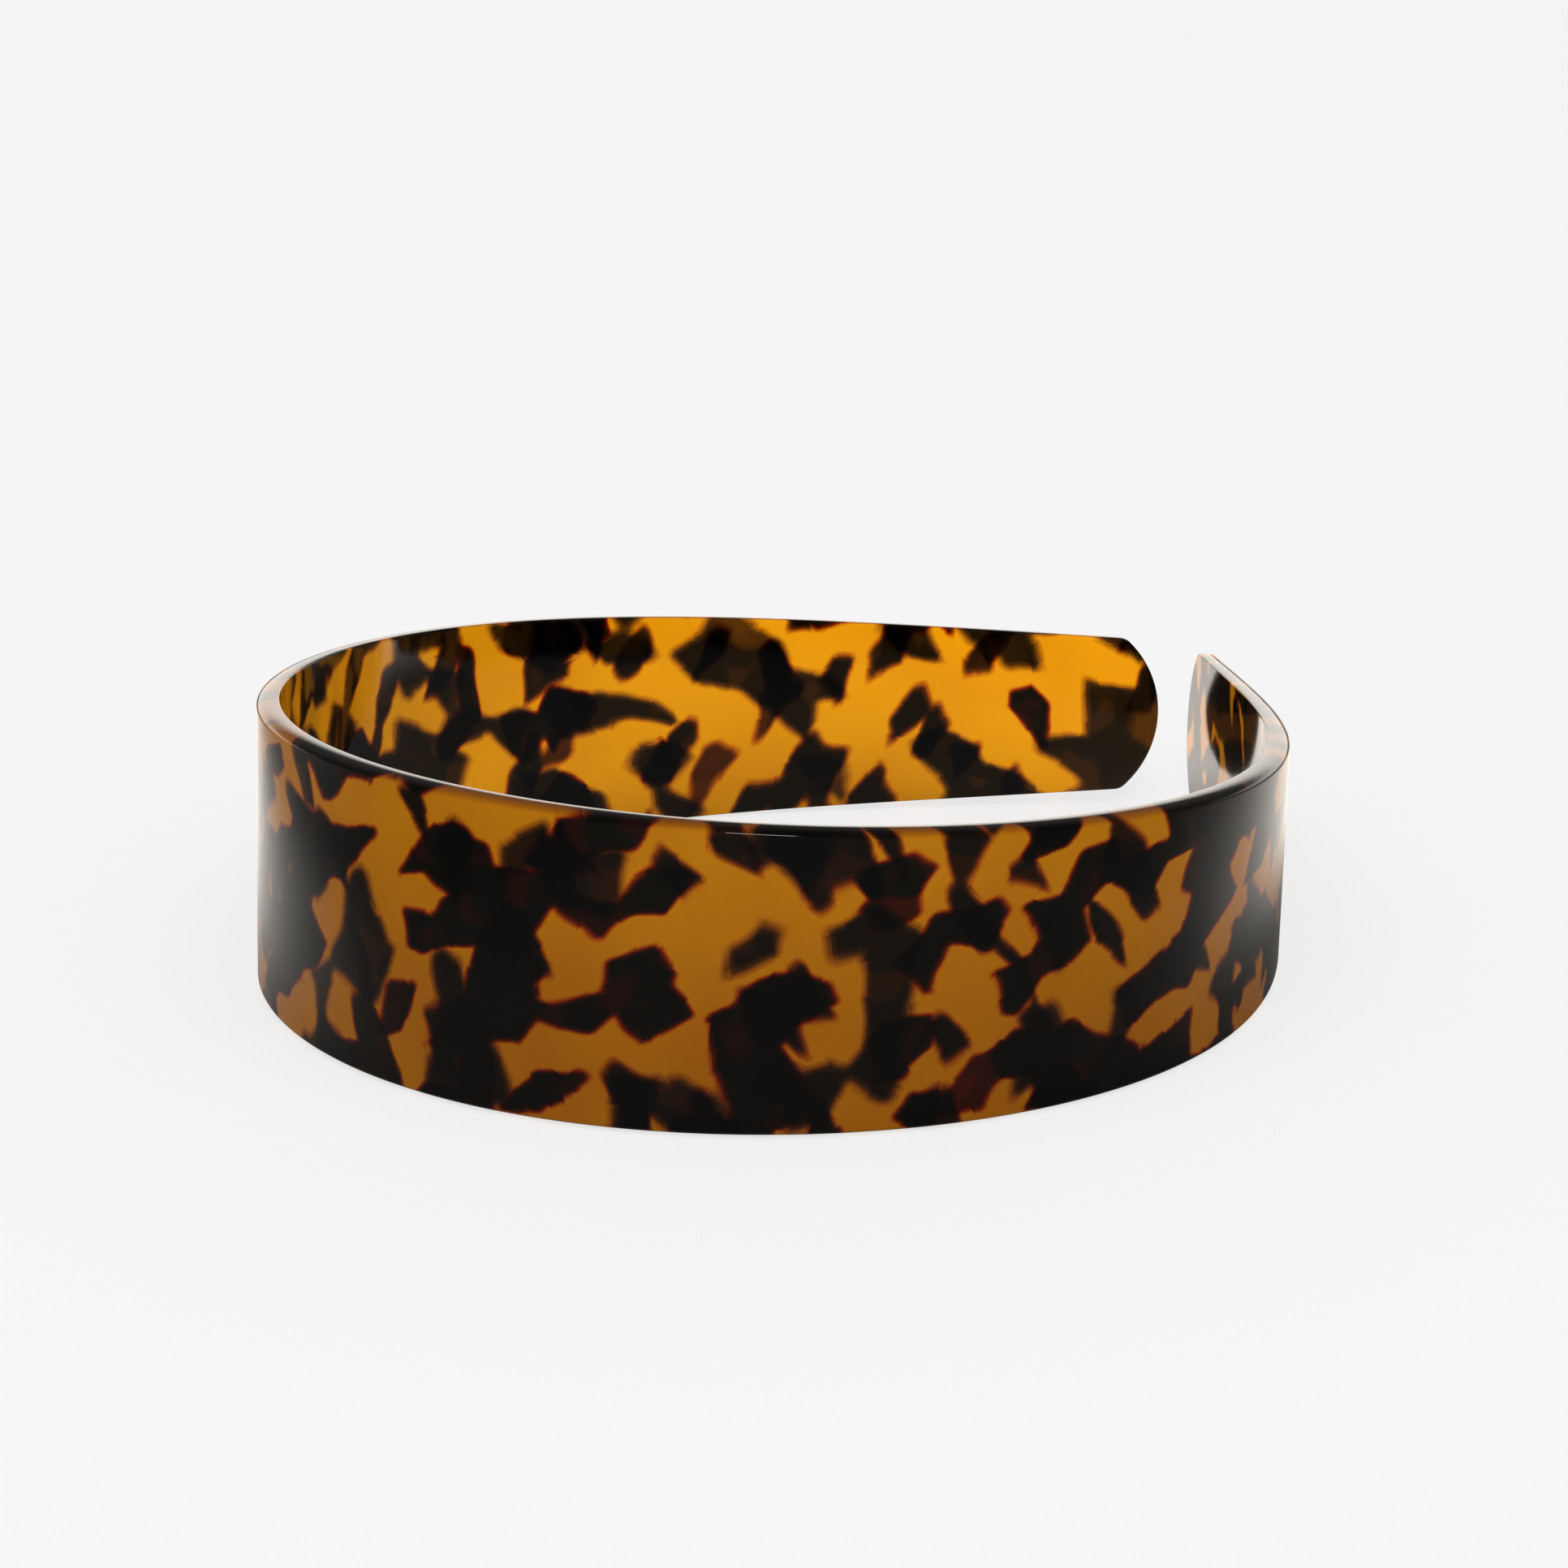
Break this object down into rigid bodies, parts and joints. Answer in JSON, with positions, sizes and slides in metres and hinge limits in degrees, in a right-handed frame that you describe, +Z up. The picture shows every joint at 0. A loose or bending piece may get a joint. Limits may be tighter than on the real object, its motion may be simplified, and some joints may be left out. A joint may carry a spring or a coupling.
{
  "type": "headband",
  "caption": "Rigid C-shaped hair headband in glossy tortoiseshell sheet, tapering to rounded tips whose arms spring apart to grip the head.",
  "frame": {"origin": "middle of the band's footprint, on the surface that the band rests on edge upon", "axes": "+Z up; the crown faces -Y, the tips and the opening between them face +Y, and the left arm is at -X"},
  "size_m": [0.1196, 0.1458, 0.0351],
  "materials": {
    "tortoiseshell": "polished cellulose acetate, translucent amber with dark brown angular flakes"
  },
  "bodies": {
    "crown": {"crown": "tortoiseshell"},
    "left_arm": {"left_arm": "tortoiseshell"},
    "right_arm": {"right_arm": "tortoiseshell"}
  },
  "joints": [
    {"name": "left_arm_flex", "type": "hinge", "parent": "crown", "child": "left_arm", "pos_m": [-0.04967, -0.04497, 0.01656], "axis": [0, 0.0389, 0.9992], "range_deg": [-0.8, 30], "stiffness_Nm_per_rad": 1.1},
    {"name": "right_arm_flex", "type": "hinge", "parent": "crown", "child": "right_arm", "pos_m": [0.04967, -0.04497, 0.01656], "axis": [0, -0.0389, -0.9992], "range_deg": [-0.8, 30], "stiffness_Nm_per_rad": 1.1}
  ]
}
